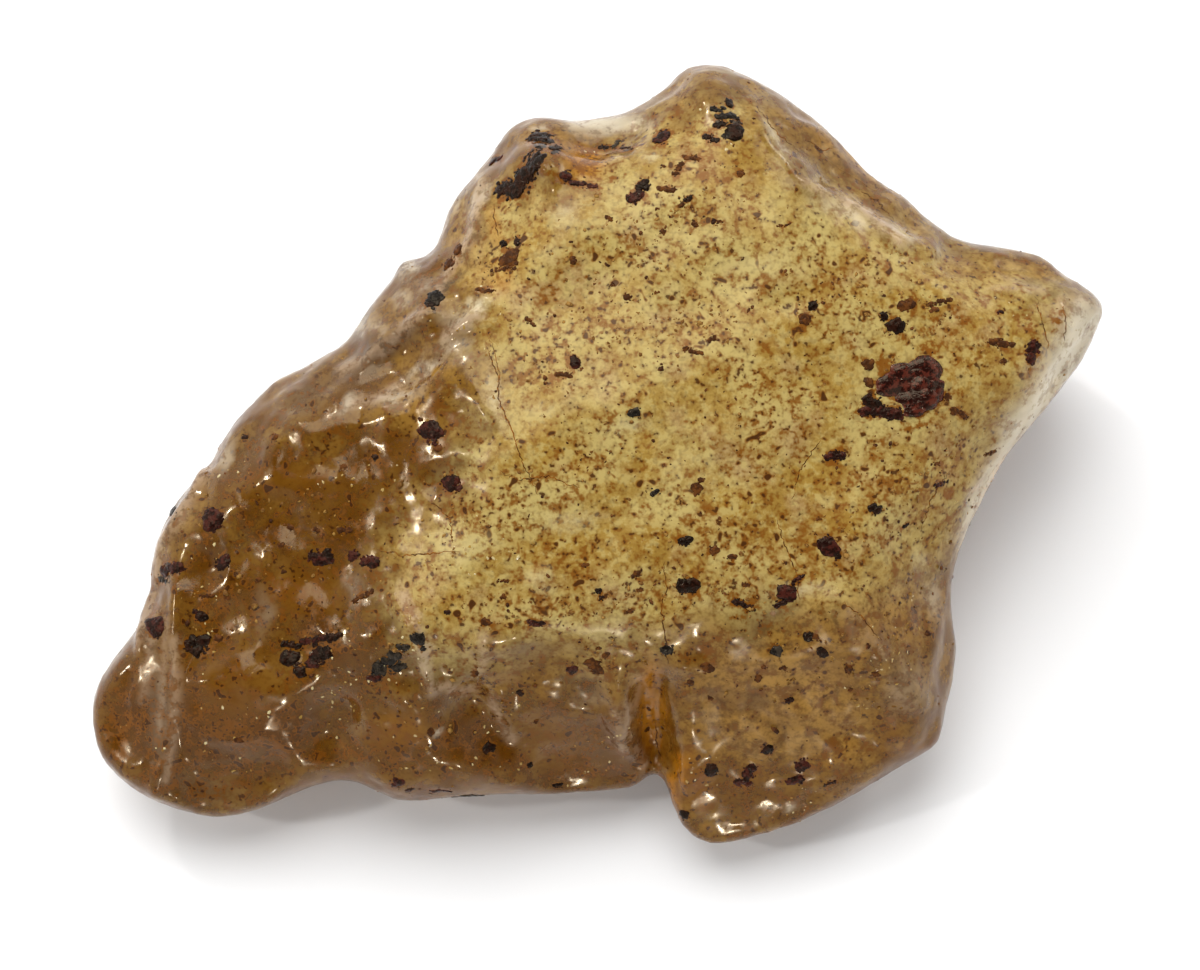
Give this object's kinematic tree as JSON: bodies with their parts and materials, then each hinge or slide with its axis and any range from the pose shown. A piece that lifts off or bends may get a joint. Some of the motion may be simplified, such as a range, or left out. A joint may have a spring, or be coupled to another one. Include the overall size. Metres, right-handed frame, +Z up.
{
  "type": "raw copal piece",
  "caption": "Rough lump of golden-brown fossil tree resin with broken faces, a front cleft and a flattened underside it rests on.",
  "frame": {"origin": "middle of the bounding box's bottom, on the plane that the lump rests on", "axes": "+X along the long way of the lump, towards its far right corner; +Y towards its thick back; +Z up from the resting face"},
  "size_m": [0.0652, 0.0489, 0.0221],
  "materials": {
    "copal": "glossy, see-through resin"
  },
  "bodies": {
    "root": {"copal_lump": "copal"}
  },
  "joints": []
}
